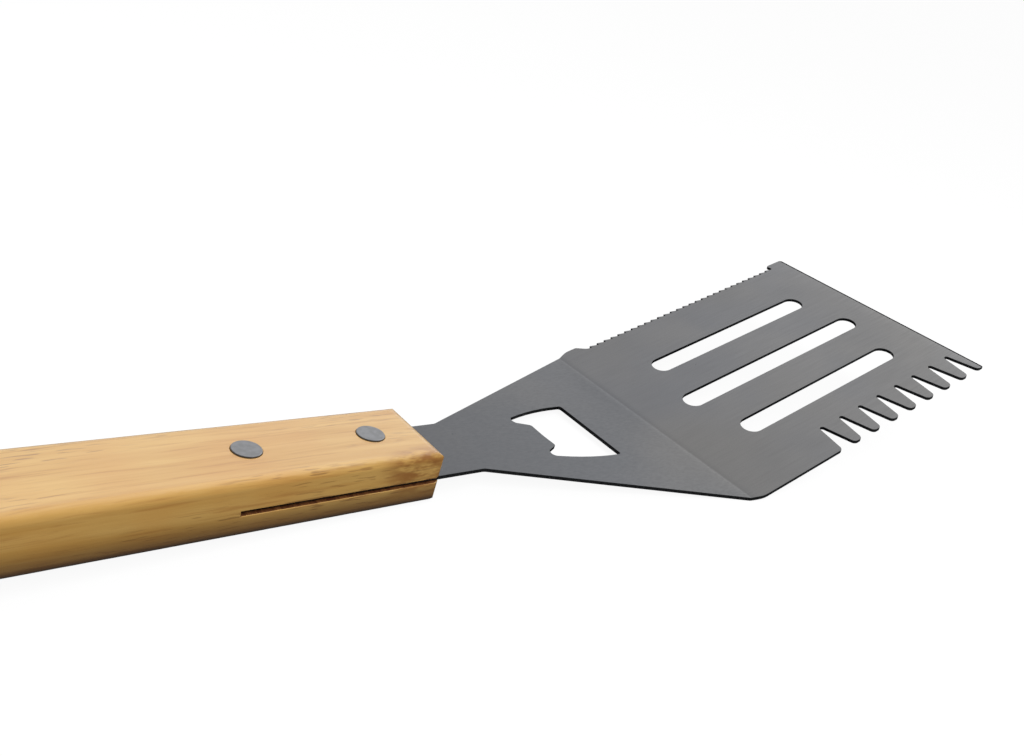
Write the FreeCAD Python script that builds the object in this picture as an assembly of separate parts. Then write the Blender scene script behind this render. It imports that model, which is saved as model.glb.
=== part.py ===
import FreeCAD, Part
import math
import os

from FreeCAD import Placement, Rotation, Vector

# Barbecue turner: one stamped steel sheet riveted into the saw kerf of a one-piece wooden handle.
# Everything is drawn in the blade frame: origin at the middle of the crease on the sheet's top
# face, +X to the front edge, +Y to the saw-toothed side, +Z out of the blade's top face.
# The finished pieces are then set down as the tool lies on a table.
# Lengths are millimetres and angles are degrees.

# Sheet
SHEET = 1.2
CREASE_ANGLE = 19.43          # neck rises behind the blade
CREASE_RADIUS = 2.5           # inside the crease, on the top face
TANG_DROP = 1.12              # tang is set back down by this much
TANG_SET_RADIUS = 40.0
BEVEL_LENGTH = 1.8            # ground bevel along the front edge
EDGE_NOSE = 0.5

# Blade
BLADE_LENGTH = 129.0
BLADE_HALF = 50.0
SLOT_WIDTH = 8.0
SLOT_SPACING = 22.4
OUTER_SLOT = (25.0, 107.5)    # where the slot's two round ends reach
MIDDLE_SLOT = (19.0, 113.5)

# Comb of fingers on the -Y side
GAP_COUNT = 8
GAP_PITCH = 10.6
FIRST_GAP = 47.35
GAP_DEPTH = 12.3
GAP_MOUTH_HALF = 3.4
GAP_ROOT_HALF = 0.85
GAP_ROOT_RADIUS = 1.0
FINGER_RADIUS = 1.75
COMB_CORNER_RADIUS = 1.5

# Saw teeth on the +Y side
CREST_COUNT = 29
CREST_PITCH = 3.588
FIRST_CREST = 14.45
CREST_Y = 47.95
CREST_RADIUS = 0.25
TOOTH_DEPTH = 1.5
TOOTH_UNDERCUT = 0.6          # crests overhang their gullets towards the handle
GULLET_RADIUS = 0.25
SAW_RAMP_START = 9.5
SAW_RAMP_FOOT = (12.7, 47.1)
SAW_RAMP_RADIUS = 3.0
HOOK_FOOT = (119.1, 46.7)
HOOK_OVERHANG = 0.35
HOOK_FOOT_RADIUS = 0.6
HOOK_NOSE_RADIUS = 0.9
SAW_CORNER_RADIUS = 0.8

# Neck and tang, measured back from the crease along the sheet
FLARE_HALF = 48.2             # half width at the crease
FLARE_TAPER = 0.417
SHOULDER_RADIUS = 9.0
TANG_HALF = 12.8
TANG_SET_AT = 84.0
TANG_END = 159.5
TANG_CORNER_RADIUS = 2.0
NECK_CORNER_RADIUS = 3.0

# Bottle opener window in the neck
OPENER_FRONT = 29.0
OPENER_HALF = 15.4
OPENER_CORNER_RADIUS = 1.0
OPENER_SIDE_BEND = 42.2       # where the sides start to close in
OPENER_SIDE_RADIUS = 80.0
POCKET_OUTER = (56.1, 11.2)   # the window's rear corners, as (distance, half width)
POCKET_INNER = (55.0, 8.5)
POCKET_RADII = (1.7, 0.85)
LIP_CORNER = (50.3, 6.2)
LIP_CORNER_RADIUS = 1.3
LIP_HOLLOW = 0.3
LIP_HOLLOW_RADIUS = 40.0

# Handle, on the same measure along the tang
HANDLE_FRONT = 100.5
HANDLE_LENGTH = 226.0
HANDLE_TOP = 7.95             # top face above the sheet's top face
HANDLE_THICKNESS = 17.2
HANDLE_FRONT_WIDTH = 27.8
HANDLE_REAR_WIDTH = 30.4
SIDE_BULGE = 1.0
SIDE_RADIUS = 20.0
TOP_EDGE_RADIUS = 2.8
BOTTOM_EDGE_RADIUS = 4.5
FRONT_END_RADIUS = 4.5        # ends seen from the side
REAR_END_RADIUS = 7.0
FRONT_CORNER_RADIUS = 3.5     # ends seen from above
REAR_CORNER_RADIUS = 7.0
SKIM = 0.03                   # the plan view stays this far outside the sides
KERF = 1.45
KERF_END = 161.3
HANG_HOLE_RADIUS = 3.0
HANG_HOLE_INSET = 15.0        # from the rear end

# Cutler's rivets, each a tubular half and a pin half
RIVETS_AT = (118.0, 154.6)
HEAD_RADIUS = 4.0
HEAD_SEAT = 1.2               # depth of the counterbore
HEAD_PROUD = 0.35
HEAD_ROUNDING = 0.3
SHANK_RADIUS = 2.5
PIN_RADIUS = 1.7
PIN_END_GAP = 1.0
HOLE_CLEARANCE = 0.05

FAR = 30.0                    # reach of a cutter past what it cuts


def rounded_wire(corners):
    """Closed wire in the XY plane through (x, y, radius) corners; radius 0 is a sharp corner."""
    ends = []
    for i, (x, y, radius) in enumerate(corners):
        here = Vector(x, y, 0)
        before = Vector(*corners[i - 1][:2], 0)
        after = Vector(*corners[(i + 1) % len(corners)][:2], 0)
        back = (before - here).normalize()
        ahead = (after - here).normalize()
        half = back.getAngle(ahead) / 2
        if radius == 0:
            ends.append((here, None, here))
            continue
        reach = radius / math.tan(half)
        middle = here + (back + ahead).normalize() * (radius / math.sin(half) - radius)
        ends.append((here + back * reach, middle, here + ahead * reach))
    edges = []
    for i, (start, middle, end) in enumerate(ends):
        if middle is not None:
            edges.append(Part.Arc(start, middle, end).toShape())
        following = ends[(i + 1) % len(ends)][0]
        if end.distanceToPoint(following) > 1e-4:
            edges.append(Part.LineSegment(end, following).toShape())
    return Part.Wire(Part.__sortEdges__(edges))


def prism(corners, low, high):
    """Rounded outline in XY, solid from z = low to z = high."""
    solid = Part.Face(rounded_wire(corners)).extrude(Vector(0, 0, high - low))
    solid.translate(Vector(0, 0, low))
    return solid


def pitched(angle):
    """Placement that turns blade axes so that +X drops and -X rises by the angle."""
    return Placement(Vector(0, 0, 0), Rotation(Vector(0, 1, 0), angle))


TANG_ANGLE = CREASE_ANGLE - TANG_DROP
NECK = pitched(CREASE_ANGLE)
TANG = Placement(NECK.multVec(Vector(-TANG_SET_AT, 0, 0)), Rotation(Vector(0, 1, 0), TANG_ANGLE))


def moved(shape, placement):
    """Copy of a shape carried from the blade frame by a placement."""
    copy = shape.copy()
    copy.Placement = placement.multiply(shape.Placement)
    return copy


def on_tang(shape):
    """Moves a shape drawn with x = -(distance behind the crease) onto the tang."""
    return moved(shape, TANG.multiply(Placement(Vector(TANG_SET_AT, 0, 0), Rotation())))


def bent_profile():
    """Edge view of the whole sheet as (x, z, radius) corners, with both bends and the bevel."""
    def below(point, first, second):
        """Matching corner on the underside, on the bisector of the two legs."""
        lean = math.radians((first + second) / 2)
        drop = SHEET / math.cos(math.radians((first - second) / 2))
        return point - Vector(math.sin(lean), 0, math.cos(lean)) * drop

    crease = Vector(0, 0, 0)
    tang_set = TANG.Base
    tang_end = TANG.multVec(Vector(TANG_SET_AT - TANG_END, 0, 0))
    crease_below = below(crease, 0, CREASE_ANGLE)
    tang_set_below = below(tang_set, CREASE_ANGLE, TANG_ANGLE)
    tang_end_below = below(tang_end, TANG_ANGLE, TANG_ANGLE)
    return [
        (BLADE_LENGTH - BEVEL_LENGTH, 0, 0),
        (crease.x, crease.z, CREASE_RADIUS),
        (tang_set.x, tang_set.z, TANG_SET_RADIUS),
        (tang_end.x, tang_end.z, 0),
        (tang_end_below.x, tang_end_below.z, 0),
        (tang_set_below.x, tang_set_below.z, TANG_SET_RADIUS - SHEET),
        (crease_below.x, crease_below.z, CREASE_RADIUS + SHEET),
        (BLADE_LENGTH, -SHEET, 0),
        (BLADE_LENGTH, EDGE_NOSE - SHEET, 0),
    ]


def bent_sheet():
    """Bent strip, wider than the blade, before its outline is cut."""
    strip = prism(bent_profile(), -BLADE_HALF - FAR, BLADE_HALF + FAR)
    strip.rotate(Vector(0, 0, 0), Vector(1, 0, 0), 90)
    return strip


def blank_outline():
    """Shoulders, flare and tang of the flat blank; x runs forward from the crease."""
    shoulder_x = (BLADE_HALF - FLARE_HALF) / FLARE_TAPER
    corner_x = -(FLARE_HALF - TANG_HALF) / FLARE_TAPER
    side = [
        (BLADE_LENGTH + FAR, BLADE_HALF, 0),
        (shoulder_x, BLADE_HALF, SHOULDER_RADIUS),
        (corner_x, TANG_HALF, NECK_CORNER_RADIUS),
        (-TANG_END, TANG_HALF, TANG_CORNER_RADIUS),
    ]
    return side + [(x, -y, radius) for x, y, radius in reversed(side)]


def blank():
    """Bent strip trimmed to the blank's outline, square to the bend's own bisector."""
    lean = CREASE_ANGLE / 2
    shrink = math.cos(math.radians(lean))
    corners = [(x * shrink, y, radius) for x, y, radius in blank_outline()]
    cutter = prism(corners, -BLADE_LENGTH, BLADE_LENGTH)
    return bent_sheet().common(moved(cutter, pitched(lean)))


def slot(start, end, y):
    """Cutter for one long slot with round ends."""
    half = SLOT_WIDTH / 2
    corners = [(start, y - half), (end, y - half), (end, y + half), (start, y + half)]
    return prism([(*corner, half) for corner in corners], -FAR, FAR)


def comb_cutter():
    """Everything outside the fingers along the -Y side."""
    root_y = GAP_DEPTH - BLADE_HALF
    corners = [(FIRST_GAP - GAP_PITCH, -BLADE_HALF - FAR, 0), (FIRST_GAP - GAP_PITCH, -BLADE_HALF, 0)]
    for index in range(GAP_COUNT):
        x = FIRST_GAP + index * GAP_PITCH
        corners += [
            (x - GAP_MOUTH_HALF, -BLADE_HALF, FINGER_RADIUS),
            (x - GAP_ROOT_HALF, root_y, GAP_ROOT_RADIUS),
            (x + GAP_ROOT_HALF, root_y, GAP_ROOT_RADIUS),
            (x + GAP_MOUTH_HALF, -BLADE_HALF, FINGER_RADIUS),
        ]
    past_corner = 2 * COMB_CORNER_RADIUS - BLADE_HALF
    corners += [
        (BLADE_LENGTH, -BLADE_HALF, COMB_CORNER_RADIUS),
        (BLADE_LENGTH, past_corner, 0),
        (BLADE_LENGTH + FAR, past_corner, 0),
        (BLADE_LENGTH + FAR, -BLADE_HALF - FAR, 0),
    ]
    return prism(corners, -FAR, FAR)


def saw_cutter():
    """Everything outside the ramp, the hooked saw teeth and the large hook along the +Y side."""
    ramp_lead = SAW_RAMP_START - 2 * SAW_CORNER_RADIUS
    corners = [
        (ramp_lead, BLADE_HALF + FAR, 0),
        (ramp_lead, BLADE_HALF, 0),
        (SAW_RAMP_START, BLADE_HALF, SAW_CORNER_RADIUS),
        (*SAW_RAMP_FOOT, SAW_RAMP_RADIUS),
    ]
    for index in range(CREST_COUNT):
        x = FIRST_CREST + index * CREST_PITCH
        corners += [
            (x + TOOTH_UNDERCUT, CREST_Y - TOOTH_DEPTH, GULLET_RADIUS),
            (x, CREST_Y, CREST_RADIUS),
        ]
    past_corner = BLADE_HALF - 2 * SAW_CORNER_RADIUS
    corners += [
        (*HOOK_FOOT, HOOK_FOOT_RADIUS),
        (HOOK_FOOT[0] - HOOK_OVERHANG, BLADE_HALF, HOOK_NOSE_RADIUS),
        (BLADE_LENGTH, BLADE_HALF, SAW_CORNER_RADIUS),
        (BLADE_LENGTH, past_corner, 0),
        (BLADE_LENGTH + FAR, past_corner, 0),
        (BLADE_LENGTH + FAR, BLADE_HALF + FAR, 0),
    ]
    return prism(corners, -FAR, FAR)


def opener_cutter():
    """Window in the neck whose rear lip catches a bottle cap."""
    side = [
        (OPENER_FRONT, OPENER_HALF, OPENER_CORNER_RADIUS),
        (OPENER_SIDE_BEND, OPENER_HALF, OPENER_SIDE_RADIUS),
        (*POCKET_OUTER, POCKET_RADII[0]),
        (*POCKET_INNER, POCKET_RADII[1]),
        (*LIP_CORNER, LIP_CORNER_RADIUS),
    ]
    one_side = [(-distance, y, radius) for distance, y, radius in side]
    other_side = [(x, -y, radius) for x, y, radius in reversed(one_side)]
    lip_middle = (-LIP_CORNER[0] - LIP_HOLLOW, 0, LIP_HOLLOW_RADIUS)
    return prism([*one_side, lip_middle, *other_side], -FAR, FAR)


def rivet_hole(at, radius):
    """Round cutter through the tang and handle at one rivet."""
    return on_tang(Part.makeCylinder(radius, 2 * FAR, Vector(-at, 0, -FAR)))


def turner_blade():
    """Blade, neck and tang in one sheet."""
    sheet = blank().cut(comb_cutter()).cut(saw_cutter())
    for start, end, y in ((*OUTER_SLOT, -SLOT_SPACING), (*MIDDLE_SLOT, 0), (*OUTER_SLOT, SLOT_SPACING)):
        sheet = sheet.cut(slot(start, end, y))
    sheet = sheet.cut(moved(opener_cutter(), NECK))
    for at in RIVETS_AT:
        sheet = sheet.cut(rivet_hole(at, SHANK_RADIUS + HOLE_CLEARANCE))
    return sheet


def handle_section(x, width):
    """Cross-section wire at x: flat faces, bulged sides and rounded long edges."""
    top = HANDLE_TOP
    bottom = HANDLE_TOP - HANDLE_THICKNESS
    middle = (top + bottom) / 2
    shoulder = width / 2 - SIDE_BULGE
    bulge_angle = math.atan2(SIDE_BULGE, HANDLE_THICKNESS / 2)
    crown = width / 2 + SIDE_RADIUS * (1 / math.cos(bulge_angle) - 1)
    wire = rounded_wire([
        (shoulder, top, TOP_EDGE_RADIUS),
        (-shoulder, top, TOP_EDGE_RADIUS),
        (-crown, middle, SIDE_RADIUS),
        (-shoulder, bottom, BOTTOM_EDGE_RADIUS),
        (shoulder, bottom, BOTTOM_EDGE_RADIUS),
        (crown, middle, SIDE_RADIUS),
    ])
    across = Rotation(Vector(0, 1, 0), Vector(0, 0, 1), Vector(1, 0, 0), "ZXY")
    wire.Placement = Placement(Vector(x, 0, 0), across)
    return wire


def handle_side_view():
    """Prism with the handle's rounded ends as seen from the side."""
    top = HANDLE_TOP
    bottom = HANDLE_TOP - HANDLE_THICKNESS
    rear = -HANDLE_FRONT - HANDLE_LENGTH
    view = prism([
        (-HANDLE_FRONT, top, FRONT_END_RADIUS),
        (rear, top, REAR_END_RADIUS),
        (rear, bottom, REAR_END_RADIUS),
        (-HANDLE_FRONT, bottom, FRONT_END_RADIUS),
    ], -FAR, FAR)
    view.rotate(Vector(0, 0, 0), Vector(1, 0, 0), 90)
    return view


def handle_plan_view():
    """Prism with the handle's rounded ends as seen from above."""
    front_half = HANDLE_FRONT_WIDTH / 2 + SKIM
    rear_half = HANDLE_REAR_WIDTH / 2 + SKIM
    rear = -HANDLE_FRONT - HANDLE_LENGTH
    return prism([
        (-HANDLE_FRONT, front_half, FRONT_CORNER_RADIUS),
        (rear, rear_half, REAR_CORNER_RADIUS),
        (rear, -rear_half, REAR_CORNER_RADIUS),
        (-HANDLE_FRONT, -front_half, FRONT_CORNER_RADIUS),
    ], -FAR, FAR)


def handle():
    """One-piece wooden handle with its saw kerf, rivet seats and hanging hole."""
    rear = HANDLE_FRONT + HANDLE_LENGTH
    front_section = handle_section(-HANDLE_FRONT, HANDLE_FRONT_WIDTH)
    rear_section = handle_section(-rear, HANDLE_REAR_WIDTH)
    body = Part.makeLoft([front_section, rear_section], True, True)
    body = body.common(handle_side_view()).common(handle_plan_view())
    kerf_low = -(SHEET + KERF) / 2
    kerf = Part.makeBox(KERF_END, 4 * FAR, KERF, Vector(-KERF_END, -2 * FAR, kerf_low))
    body = on_tang(body.cut(kerf))
    for at in RIVETS_AT:
        body = body.cut(rivet_hole(at, SHANK_RADIUS + HOLE_CLEARANCE))
        for seat in head_seats(at):
            body = body.cut(seat)
    return body.cut(rivet_hole(rear - HANG_HOLE_INSET, HANG_HOLE_RADIUS))


def head_seats(at):
    """Counterbores for both heads of one rivet."""
    radius = HEAD_RADIUS + HOLE_CLEARANCE
    top_floor = HANDLE_TOP - HEAD_SEAT
    bottom_floor = HANDLE_TOP - HANDLE_THICKNESS + HEAD_SEAT
    top = Part.makeCylinder(radius, FAR, Vector(-at, 0, top_floor))
    bottom = Part.makeCylinder(radius, FAR, Vector(-at, 0, bottom_floor - FAR))
    return on_tang(top), on_tang(bottom)


def rivet_head(at, seat, up):
    """Head sitting in its counterbore at height seat, with a softly rounded proud rim."""
    thickness = HEAD_SEAT + HEAD_PROUD
    head = Part.makeCylinder(HEAD_RADIUS, thickness, Vector(-at, 0, seat), Vector(0, 0, up))
    crown = seat + up * thickness
    rim = [edge for edge in head.Edges if abs(edge.BoundBox.Center.z - crown) < 1e-3]
    return head.makeFillet(HEAD_ROUNDING, [edge for edge in rim if edge.BoundBox.ZLength < 1e-3])


def rivet_halves(at):
    """Tubular half from the top face and pin half from the bottom face."""
    top_seat = HANDLE_TOP - HEAD_SEAT
    bottom_seat = HANDLE_TOP - HANDLE_THICKNESS + HEAD_SEAT
    foot = Vector(-at, 0, bottom_seat)
    raised_foot = foot + Vector(0, 0, HOLE_CLEARANCE)
    grip = top_seat - bottom_seat
    shank = Part.makeCylinder(SHANK_RADIUS, grip - HOLE_CLEARANCE, raised_foot)
    bore_length = grip - PIN_END_GAP
    bore = Part.makeCylinder(PIN_RADIUS + HOLE_CLEARANCE, bore_length, foot)
    tube = rivet_head(at, top_seat, 1).fuse(shank).cut(bore)
    pin_shank = Part.makeCylinder(PIN_RADIUS, bore_length - PIN_END_GAP, foot)
    pin = rivet_head(at, bottom_seat, -1).fuse(pin_shank)
    return on_tang(tube.removeSplitter()), on_tang(pin.removeSplitter())


def lying_angle():
    """Tilt of the line that touches the crease's underside and the handle's lower front edge."""
    heel_radius = CREASE_RADIUS + SHEET
    heel = Vector(CREASE_RADIUS * math.tan(math.radians(CREASE_ANGLE / 2)), 0, CREASE_RADIUS)
    toe_x = TANG_SET_AT - HANDLE_FRONT - FRONT_END_RADIUS
    toe_z = HANDLE_TOP - HANDLE_THICKNESS + FRONT_END_RADIUS
    span = TANG.multVec(Vector(toe_x, 0, toe_z)) - heel
    rise = math.atan2(span.z, -span.x)
    return math.degrees(rise - math.asin((FRONT_END_RADIUS - heel_radius) / span.Length))


def set_down(pieces):
    """Turns the pieces to the pose the tool lies in, centred over the origin on z = 0."""
    turn = Placement(Vector(0, 0, 0), Rotation(Vector(0, 1, 0), -lying_angle()))
    turned = {name: moved(shape, turn) for name, shape in pieces.items()}
    box = FreeCAD.BoundBox()
    for shape in turned.values():
        box.add(shape.optimalBoundingBox(False, False))
    shift = Placement(Vector(-box.Center.x, -box.Center.y, -box.ZMin), Rotation())
    return {name: moved(shape, shift) for name, shape in turned.items()}


def all_pieces():
    """Every separate piece by name, in the blade frame."""
    pieces = {"turner_blade": turner_blade(), "handle": handle()}
    for name, at in zip(("front_rivet", "rear_rivet"), RIVETS_AT):
        pieces[name + "_tube"], pieces[name + "_pin"] = rivet_halves(at)
    return pieces


os.makedirs("parts", exist_ok=True)
for node, solid in set_down(all_pieces()).items():
    solid.exportStep("parts/" + node + ".step")
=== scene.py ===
import math

import bmesh
import bpy
from mathutils import Euler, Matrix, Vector


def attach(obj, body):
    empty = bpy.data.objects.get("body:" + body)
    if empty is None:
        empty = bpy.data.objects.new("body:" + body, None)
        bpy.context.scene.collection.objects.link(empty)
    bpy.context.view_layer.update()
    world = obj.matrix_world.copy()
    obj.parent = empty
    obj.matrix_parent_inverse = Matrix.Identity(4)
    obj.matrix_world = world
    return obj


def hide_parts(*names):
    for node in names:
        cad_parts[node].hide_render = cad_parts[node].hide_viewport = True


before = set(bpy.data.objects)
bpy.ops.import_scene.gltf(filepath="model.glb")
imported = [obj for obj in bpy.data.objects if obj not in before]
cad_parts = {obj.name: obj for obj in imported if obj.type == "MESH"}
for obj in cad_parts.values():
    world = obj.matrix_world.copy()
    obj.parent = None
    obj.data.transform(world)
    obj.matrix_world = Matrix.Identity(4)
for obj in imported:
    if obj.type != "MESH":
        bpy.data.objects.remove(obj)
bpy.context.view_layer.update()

# Looks of the barbecue turner. Lengths are metres in the row frame, where the tool lies on z = 0
# with +X to the blade's front edge and +Y to the saw-toothed side.
MM = 0.001
SHEET = 1.2 * MM
KERF = 1.45 * MM
KERF_END = 161.3 * MM                     # behind the crease, along the tang
TANG_SET = 84 * MM                        # likewise
BLADE_RISE = math.radians(14.799)         # each leg's slope, upwards to the front
NECK_RISE = BLADE_RISE - math.radians(19.43)
TANG_RISE = BLADE_RISE - math.radians(18.31)
CREASE = Vector((100.447, 0, 1.174)) * MM
TANG = CREASE - TANG_SET * Vector((math.cos(NECK_RISE), 0, math.sin(NECK_RISE)))
PATCH = Vector((-25, -14, 4)) * MM        # brown patch at the handle's front, from the tang's bend
WALL_LEAN = 0.9                           # a face whose normal rises less than this is a cut wall
BEVEL_LEAN = 0.097                        # forward lean of a normal: bevel above, neck below
SHEET_EDGE = 0.09 * MM                    # rounding of sharp edges
WOOD_EDGE = 0.2 * MM
RIVET_EDGE = 0.08 * MM
KERF_SLACK = 0.02 * MM                    # kerf faces are looked for this far outside the kerf
KERF_END_SLACK = 0.1 * MM
MERGE_DISTANCE = 1e-6
FLAT_ANGLE = math.radians(0.3)            # faces closer in angle than this become one
SMOOTH_ANGLE = math.radians(35)
SHEET_ANGLE = math.radians(50)            # edges sharper than this are rounded over
SOLID_ANGLE = math.radians(75)
FLOOR_REACH = 40.0
FLOOR_GLOW = 1.03
GLOW_SHARE = 0.9                          # of the floor that the camera sees
DOME_FLOOR = 0.15                         # light from where the dome is darkest
CAMERA_PLACE = (-0.16417, -0.19482, 0.162333)
CAMERA_TURN = (63.39, -12.942, -38.553)   # degrees
CAMERA_LENS = 36.5                        # millimetres, on a 36 mm sensor


def on_tang(point):
    """Point of the row frame as forward of the tang's bend, across it and above its top face."""
    return Euler((0, TANG_RISE, 0)).to_matrix() @ (Vector(point) - TANG)


# ---------------------------------------------------------------- shader nodes
# Noise scales are in cycles per metre.

def start_material(name):
    """Empty principled material with its node tree."""
    material = bpy.data.materials.new(name)
    material.use_nodes = True
    tree = material.node_tree
    return material, tree, tree.nodes["Principled BSDF"]


def add(tree, kind, inputs, **settings):
    """Adds a shader node, sets its options, and links or sets its inputs."""
    node = tree.nodes.new("ShaderNode" + kind)
    for option, value in settings.items():
        setattr(node, option, value)
    for name, value in inputs.items():
        if isinstance(value, bpy.types.NodeSocket):
            tree.links.new(value, node.inputs[name])
        else:
            node.inputs[name].default_value = value
    return node


def level(tree, rise, origin):
    """Position measured along, across and above one leg of the tool."""
    position = add(tree, "TexCoord", {}).outputs["Object"]
    offset = add(tree, "VectorMath", {0: position, 1: origin}, operation="SUBTRACT").outputs[0]
    return add(tree, "VectorRotate", {"Vector": offset, "Angle": rise},
               rotation_type="Y_AXIS").outputs[0]


def stretched(tree, vector, scale):
    """Coordinates multiplied along each axis: a pattern stretches where the scale is low."""
    return add(tree, "VectorMath", {0: vector, 1: scale}, operation="MULTIPLY").outputs[0]


def noise(tree, vector, scale, detail=2.0, roughness=0.5):
    """Grey noise, about 0.5 on average."""
    return add(tree, "TexNoise", {
        "Vector": vector, "Scale": scale, "Detail": detail, "Roughness": roughness,
    }).outputs["Fac"]


def ramp(tree, value, low, high, low_out=0.0, high_out=1.0):
    """Smooth step of a value from one level to another."""
    return add(tree, "MapRange", {
        "Value": value, "From Min": low, "From Max": high, "To Min": low_out, "To Max": high_out,
    }, interpolation_type="SMOOTHSTEP").outputs[0]


def tint(tree, factor, first, second):
    """Colour between two colours or sockets."""
    return add(tree, "Mix", {0: factor, 6: first, 7: second}, data_type="RGBA").outputs[2]


def maths(tree, operation, first, second):
    """Result of one arithmetic operation on two numbers or sockets."""
    return add(tree, "Math", {0: first, 1: second}, operation=operation).outputs[0]


def bump(tree, height, distance):
    """Normal from a height pattern that is this many metres deep."""
    return add(tree, "Bump", {"Height": height, "Distance": distance}).outputs[0]


def rgb(red, green, blue):
    """Shader colour from 0-255 sRGB values."""
    def linear(value):
        value /= 255
        return value / 12.92 if value <= 0.04045 else ((value + 0.055) / 1.055) ** 2.4
    return linear(red), linear(green), linear(blue), 1.0


# ------------------------------------------------------------------- materials

def sheet_steel():
    """Satin stainless sheet: fine brushing along the tool, faint clouding, small pits, and painted
    shade darkening the neck.
    """
    material, tree, shader = start_material("satin_steel")
    place = level(tree, BLADE_RISE, CREASE)
    brushing = noise(tree, stretched(tree, place, (60, 1500, 1500)), 1.0, detail=3)
    clouds = noise(tree, place, 22, detail=2)
    warmth = noise(tree, place, 13, detail=1)
    grit = noise(tree, place, 2500, detail=2)
    pits = noise(tree, place, 420, detail=1)
    along = add(tree, "SeparateXYZ", {0: place}).outputs["X"]
    blade_side = tint(tree, ramp(tree, clouds, 0.35, 0.65), rgb(117, 118, 121), rgb(123, 123, 124))
    # Painted shade: the neck is coloured darker than the blade to stand for its dimmer reflection.
    neck_painted_shade = tint(tree, ramp(tree, clouds, 0.35, 0.65), rgb(91, 93, 97), rgb(96, 97, 100))
    base = tint(tree, ramp(tree, along, -3 * MM, 3 * MM), neck_painted_shade, blade_side)
    base = tint(tree, ramp(tree, warmth, 0.4, 0.7, 0.0, 0.4), base, rgb(116, 114, 110))
    base = tint(tree, ramp(tree, grit, 0.3, 0.7, 0.0, 0.25), base, rgb(102, 102, 104))
    base = tint(tree, ramp(tree, pits, 0.80, 0.83, 0.0, 0.6), base, rgb(60, 60, 62))
    tree.links.new(base, shader.inputs["Base Color"])
    shader.inputs["Metallic"].default_value = 1.0
    tree.links.new(ramp(tree, brushing, 0.2, 0.8, 0.36, 0.46), shader.inputs["Roughness"])
    tree.links.new(bump(tree, brushing, 0.000006), shader.inputs["Normal"])
    return material


def sheared_steel():
    """Punched walls of the sheet: darker, with short striations through the thickness."""
    material, tree, shader = start_material("sheared_steel")
    place = level(tree, BLADE_RISE, CREASE)
    marks = noise(tree, stretched(tree, place, (3000, 3000, 300)), 1.0, detail=3)
    base = tint(tree, ramp(tree, marks, 0.3, 0.7), rgb(78, 79, 83), rgb(104, 105, 108))
    tree.links.new(base, shader.inputs["Base Color"])
    shader.inputs["Metallic"].default_value = 1.0
    tree.links.new(ramp(tree, marks, 0.3, 0.7, 0.35, 0.5), shader.inputs["Roughness"])
    tree.links.new(bump(tree, marks, 0.00002), shader.inputs["Normal"])
    return material


def ground_steel_painted_shade():
    """Ground bevel of the front edge, scored across the blade's length, coloured very dark as
    painted shade along the edge.
    """
    material, tree, shader = start_material("ground_steel_painted_shade")
    place = level(tree, BLADE_RISE, CREASE)
    scores = noise(tree, stretched(tree, place, (300, 3500, 300)), 1.0, detail=3)
    # Painted shade: the bevel is coloured far darker than the sheet to stand for the shaded edge.
    base = tint(tree, ramp(tree, scores, 0.3, 0.7), rgb(52, 52, 55), rgb(76, 76, 79))
    tree.links.new(base, shader.inputs["Base Color"])
    shader.inputs["Metallic"].default_value = 1.0
    shader.inputs["Specular Tint"].default_value = (0.15, 0.15, 0.15, 1)
    tree.links.new(ramp(tree, scores, 0.3, 0.7, 0.25, 0.35), shader.inputs["Roughness"])
    tree.links.new(bump(tree, scores, 0.00001), shader.inputs["Normal"])
    return material


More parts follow.
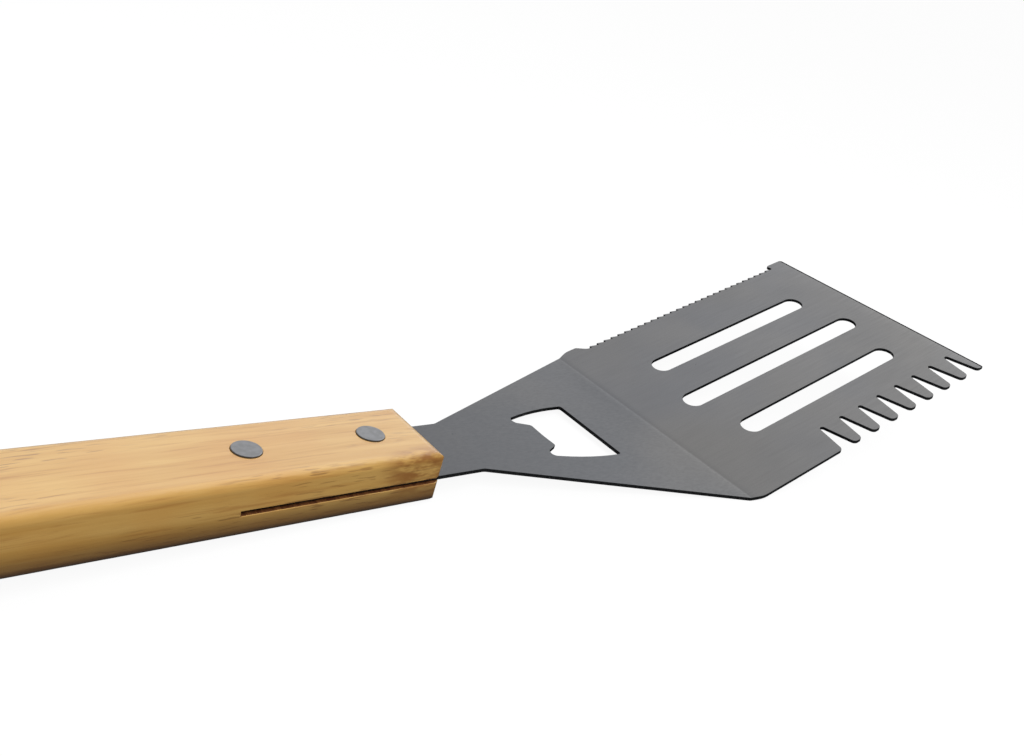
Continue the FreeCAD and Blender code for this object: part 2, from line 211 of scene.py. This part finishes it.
def handle_wood():
    """Lacquered pale hardwood with straight grain, short pores, a brown patch at the front, and
    painted shade darkening it towards the lower face.
    """
    material, tree, shader = start_material("lacquered_wood")
    place = level(tree, TANG_RISE, TANG)
    drift = noise(tree, stretched(tree, place, (14, 40, 40)), 1.0, detail=1)
    sway = add(tree, "CombineXYZ", {"Y": maths(tree, "MULTIPLY", drift, 6 * MM)}).outputs[0]
    place = add(tree, "VectorMath", {0: place, 1: sway}, operation="ADD").outputs[0]
    bands = noise(tree, stretched(tree, place, (9, 190, 260)), 1.0, detail=4, roughness=0.6)
    streaks = noise(tree, stretched(tree, place, (35, 900, 900)), 1.0, detail=3, roughness=0.6)
    dashes = noise(tree, stretched(tree, place, (130, 1500, 1500)), 1.0, detail=1)
    density = noise(tree, stretched(tree, place, (12, 70, 70)), 1.0, detail=1)
    cloud = noise(tree, place, 35, detail=2)
    base = tint(tree, ramp(tree, bands, 0.38, 0.66), rgb(207, 165, 91), rgb(194, 147, 71))
    base = tint(tree, ramp(tree, cloud, 0.4, 0.7, 0, 0.5), base, rgb(196, 142, 66))
    base = tint(tree, ramp(tree, streaks, 0.5, 0.75, 0, 0.5), base, rgb(160, 102, 40))
    shown = maths(tree, "MULTIPLY", ramp(tree, dashes, 0.58, 0.68, 0, 0.6),
                  ramp(tree, density, 0.38, 0.58))
    base = tint(tree, shown, base, rgb(132, 84, 36))
    above = add(tree, "SeparateXYZ", {0: place}).outputs["Z"]
    # Painted shade: the wood is coloured darker and browner towards the lower face.
    base = tint(tree, ramp(tree, above, 0.0, -8 * MM, 0.0, 0.9), base, rgb(104, 66, 36))
    where = add(tree, "VectorMath", {0: level(tree, TANG_RISE, TANG), 1: PATCH},
                operation="SUBTRACT")
    spread = add(tree, "VectorMath", {0: stretched(tree, where.outputs[0], (70, 150, 90))},
                 operation="LENGTH").outputs["Value"]
    mottle = noise(tree, stretched(tree, place, (120, 420, 420)), 1.0, detail=3, roughness=0.65)
    patch = maths(tree, "MULTIPLY", ramp(tree, spread, 0.3, 1.1, 0.9, 0.0),
                  ramp(tree, mottle, 0.35, 0.6))
    base = tint(tree, patch, base, rgb(146, 92, 34))
    tree.links.new(base, shader.inputs["Base Color"])
    tree.links.new(ramp(tree, streaks, 0.3, 0.7, 0.40, 0.50), shader.inputs["Roughness"])
    relief = maths(tree, "ADD", shown, streaks)
    tree.links.new(bump(tree, relief, -0.00004), shader.inputs["Normal"])
    shader.inputs["Specular IOR Level"].default_value = 0.8
    shader.inputs["Coat Weight"].default_value = 1.0
    shader.inputs["Coat Roughness"].default_value = 0.3
    return material


def sawn_wood_painted_shade():
    """Raw saw-cut walls inside the kerf, coloured dark brown as painted shade of the narrow slit,
    with cross scratches.
    """
    material, tree, shader = start_material("sawn_wood_painted_shade")
    place = level(tree, TANG_RISE, TANG)
    marks = noise(tree, stretched(tree, place, (900, 120, 900)), 1.0, detail=3)
    # Painted shade: the kerf walls are coloured dark to stand for the shade inside the slit.
    base = tint(tree, ramp(tree, marks, 0.3, 0.7), rgb(84, 46, 26), rgb(120, 76, 42))
    tree.links.new(base, shader.inputs["Base Color"])
    shader.inputs["Roughness"].default_value = 0.85
    tree.links.new(bump(tree, marks, 0.0001), shader.inputs["Normal"])
    return material


def rivet_metal():
    """Soft aluminium with mottled spots and small dents."""
    material, tree, shader = start_material("rivet_aluminium")
    place = level(tree, TANG_RISE, TANG)
    spots = noise(tree, place, 500, detail=3)
    base = tint(tree, ramp(tree, spots, 0.35, 0.65), rgb(130, 131, 133), rgb(144, 145, 148))
    tree.links.new(base, shader.inputs["Base Color"])
    shader.inputs["Metallic"].default_value = 1.0
    tree.links.new(ramp(tree, spots, 0.3, 0.7, 0.34, 0.44), shader.inputs["Roughness"])
    tree.links.new(bump(tree, spots, 0.00002), shader.inputs["Normal"])
    return material


# ---------------------------------------------------------------------- pieces

def softened(node, name, width, materials, least_angle):
    """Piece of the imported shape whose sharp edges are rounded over, standing for its node."""
    shape = bmesh.new()
    shape.from_mesh(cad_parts[node].data)
    bmesh.ops.remove_doubles(shape, verts=shape.verts, dist=MERGE_DISTANCE)
    bmesh.ops.dissolve_limit(shape, angle_limit=FLAT_ANGLE, verts=shape.verts, edges=shape.edges)
    sharp = [edge for edge in shape.edges if edge.calc_face_angle() > least_angle]
    bmesh.ops.bevel(shape, geom=sharp, offset=width, segments=2, profile=0.5, affect="EDGES")
    mesh = bpy.data.meshes.new(name)
    shape.to_mesh(mesh)
    shape.free()
    mesh.shade_smooth()
    mesh.set_sharp_from_angle(angle=SMOOTH_ANGLE)
    for material in materials:
        mesh.materials.append(material)
    piece = bpy.data.objects.new(name, mesh)
    bpy.context.scene.collection.objects.link(piece)
    weighted = piece.modifiers.new("face weighted normals", "WEIGHTED_NORMAL")
    weighted.keep_sharp = True
    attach(piece, "root")
    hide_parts(node)
    return piece


def blade():
    """The stamped sheet, with the punched walls and the front bevel in their own finishes; the
    bevel's finish is darkened as painted shade.
    """
    piece = softened("turner_blade", "blade_sheet", SHEET_EDGE,
                     [sheet_steel(), sheared_steel(), ground_steel_painted_shade()], SHEET_ANGLE)
    for face in piece.data.polygons:
        if abs(face.normal.z) < WALL_LEAN:
            face.material_index = 1
        elif face.normal.x > BEVEL_LEAN:
            face.material_index = 2


def handle():
    """The wooden handle, with raw wood darkened as painted shade inside the kerf."""
    piece = softened("handle", "wooden_handle", WOOD_EDGE,
                     [handle_wood(), sawn_wood_painted_shade()], SOLID_ANGLE)
    for face in piece.data.polygons:
        ahead, _, above = on_tang(face.center)
        # Faces inside the kerf take the finish that is painted dark as shade.
        in_kerf = abs(above + SHEET / 2) < KERF / 2 + KERF_SLACK
        face.material_index = int(in_kerf and ahead > TANG_SET - KERF_END - KERF_END_SLACK)


blade()
handle()
metal = rivet_metal()
for node in ("front_rivet_tube", "front_rivet_pin", "rear_rivet_tube", "rear_rivet_pin"):
    name = node.replace("tube", "top").replace("pin", "bottom")
    softened(node, name, RIVET_EDGE, [metal], SOLID_ANGLE)


# ----------------------------------------------------------------------- stage

def floor():
    """Very large pale floor, nearly white to the camera, with a faint contact shadow."""
    mesh = bpy.data.meshes.new("floor")
    around = ((-1, -1), (1, -1), (1, 1), (-1, 1))
    corners = [(x * FLOOR_REACH, y * FLOOR_REACH, 0) for x, y in around]
    mesh.from_pydata(corners, [], [(0, 1, 2, 3)])
    piece = bpy.data.objects.new("floor", mesh)
    bpy.context.scene.collection.objects.link(piece)
    material, tree, dim = start_material("pale_floor")
    dim.inputs["Base Color"].default_value = (0.08, 0.08, 0.08, 1)
    dim.inputs["Roughness"].default_value = 0.9
    dim.inputs["Specular IOR Level"].default_value = 0.0
    pale = add(tree, "BsdfDiffuse", {"Color": (0.9, 0.9, 0.9, 1)})
    glow = add(tree, "Emission", {"Color": (1, 1, 1, 1), "Strength": FLOOR_GLOW})
    white = add(tree, "MixShader", {0: GLOW_SHARE, 1: pale.outputs[0], 2: glow.outputs[0]})
    seen = add(tree, "LightPath", {}).outputs["Is Camera Ray"]
    mix = add(tree, "MixShader", {0: seen, 1: dim.outputs[0], 2: white.outputs[0]})
    tree.links.new(mix.outputs[0], tree.nodes["Material Output"].inputs["Surface"])
    mesh.materials.append(material)


def towards(tree, direction, low, high, amount):
    """Smooth brightening of the sky towards one direction."""
    looking = add(tree, "TexCoord", {}).outputs["Generated"]
    aim = Vector(direction).normalized()
    nearness = add(tree, "VectorMath", {0: looking, 1: aim}, operation="DOT_PRODUCT")
    return ramp(tree, nearness.outputs["Value"], low, high, 0.0, amount)


def sky():
    """Plain studio surroundings: white to the camera, and a dome brightest past the blade's end."""
    world = bpy.data.worlds.new("studio")
    bpy.context.scene.world = world
    world.use_nodes = True
    tree = world.node_tree
    background = tree.nodes["Background"]
    broad = towards(tree, (0.6, 0.6, 0.5), low=0.3, high=0.9, amount=0.95)
    narrow = towards(tree, (0.85, 0.1, 0.52), low=0.8, high=1.0, amount=0.8)
    light = maths(tree, "ADD", maths(tree, "ADD", broad, DOME_FLOOR), narrow)
    seen = add(tree, "LightPath", {}).outputs["Is Camera Ray"]
    strength = add(tree, "Mix", {0: seen, 2: light, 3: 1.0}, data_type="FLOAT").outputs[0]
    tree.links.new(strength, background.inputs["Strength"])
    background.inputs["Color"].default_value = (1, 1, 1, 1)


def softbox(name, place, target, size, power):
    """Square area light aimed at a point, which glossy surfaces don't mirror."""
    light = bpy.data.lights.new(name, "AREA")
    light.shape = "SQUARE"
    light.size = size
    light.energy = power
    lamp = bpy.data.objects.new(name, light)
    lamp.location = place
    lamp.rotation_euler = (Vector(target) - Vector(place)).to_track_quat("-Z", "Y").to_euler()
    lamp.visible_glossy = False
    bpy.context.scene.collection.objects.link(lamp)


def camera():
    """Camera at the tool's butt end, looking along it and down."""
    data = bpy.data.cameras.new("camera")
    data.lens = CAMERA_LENS
    data.sensor_width = 36
    data.clip_start = 0.01
    data.clip_end = 200
    eye = bpy.data.objects.new("camera", data)
    eye.location = CAMERA_PLACE
    eye.rotation_euler = [math.radians(angle) for angle in CAMERA_TURN]
    bpy.context.scene.collection.objects.link(eye)
    bpy.context.scene.camera = eye


floor()
sky()
softbox("camera_side", place=(-0.2, -0.68, 0.98), target=(-0.1, 0, 0), size=0.8, power=13)
camera()
bpy.context.scene.view_settings.view_transform = "Standard"
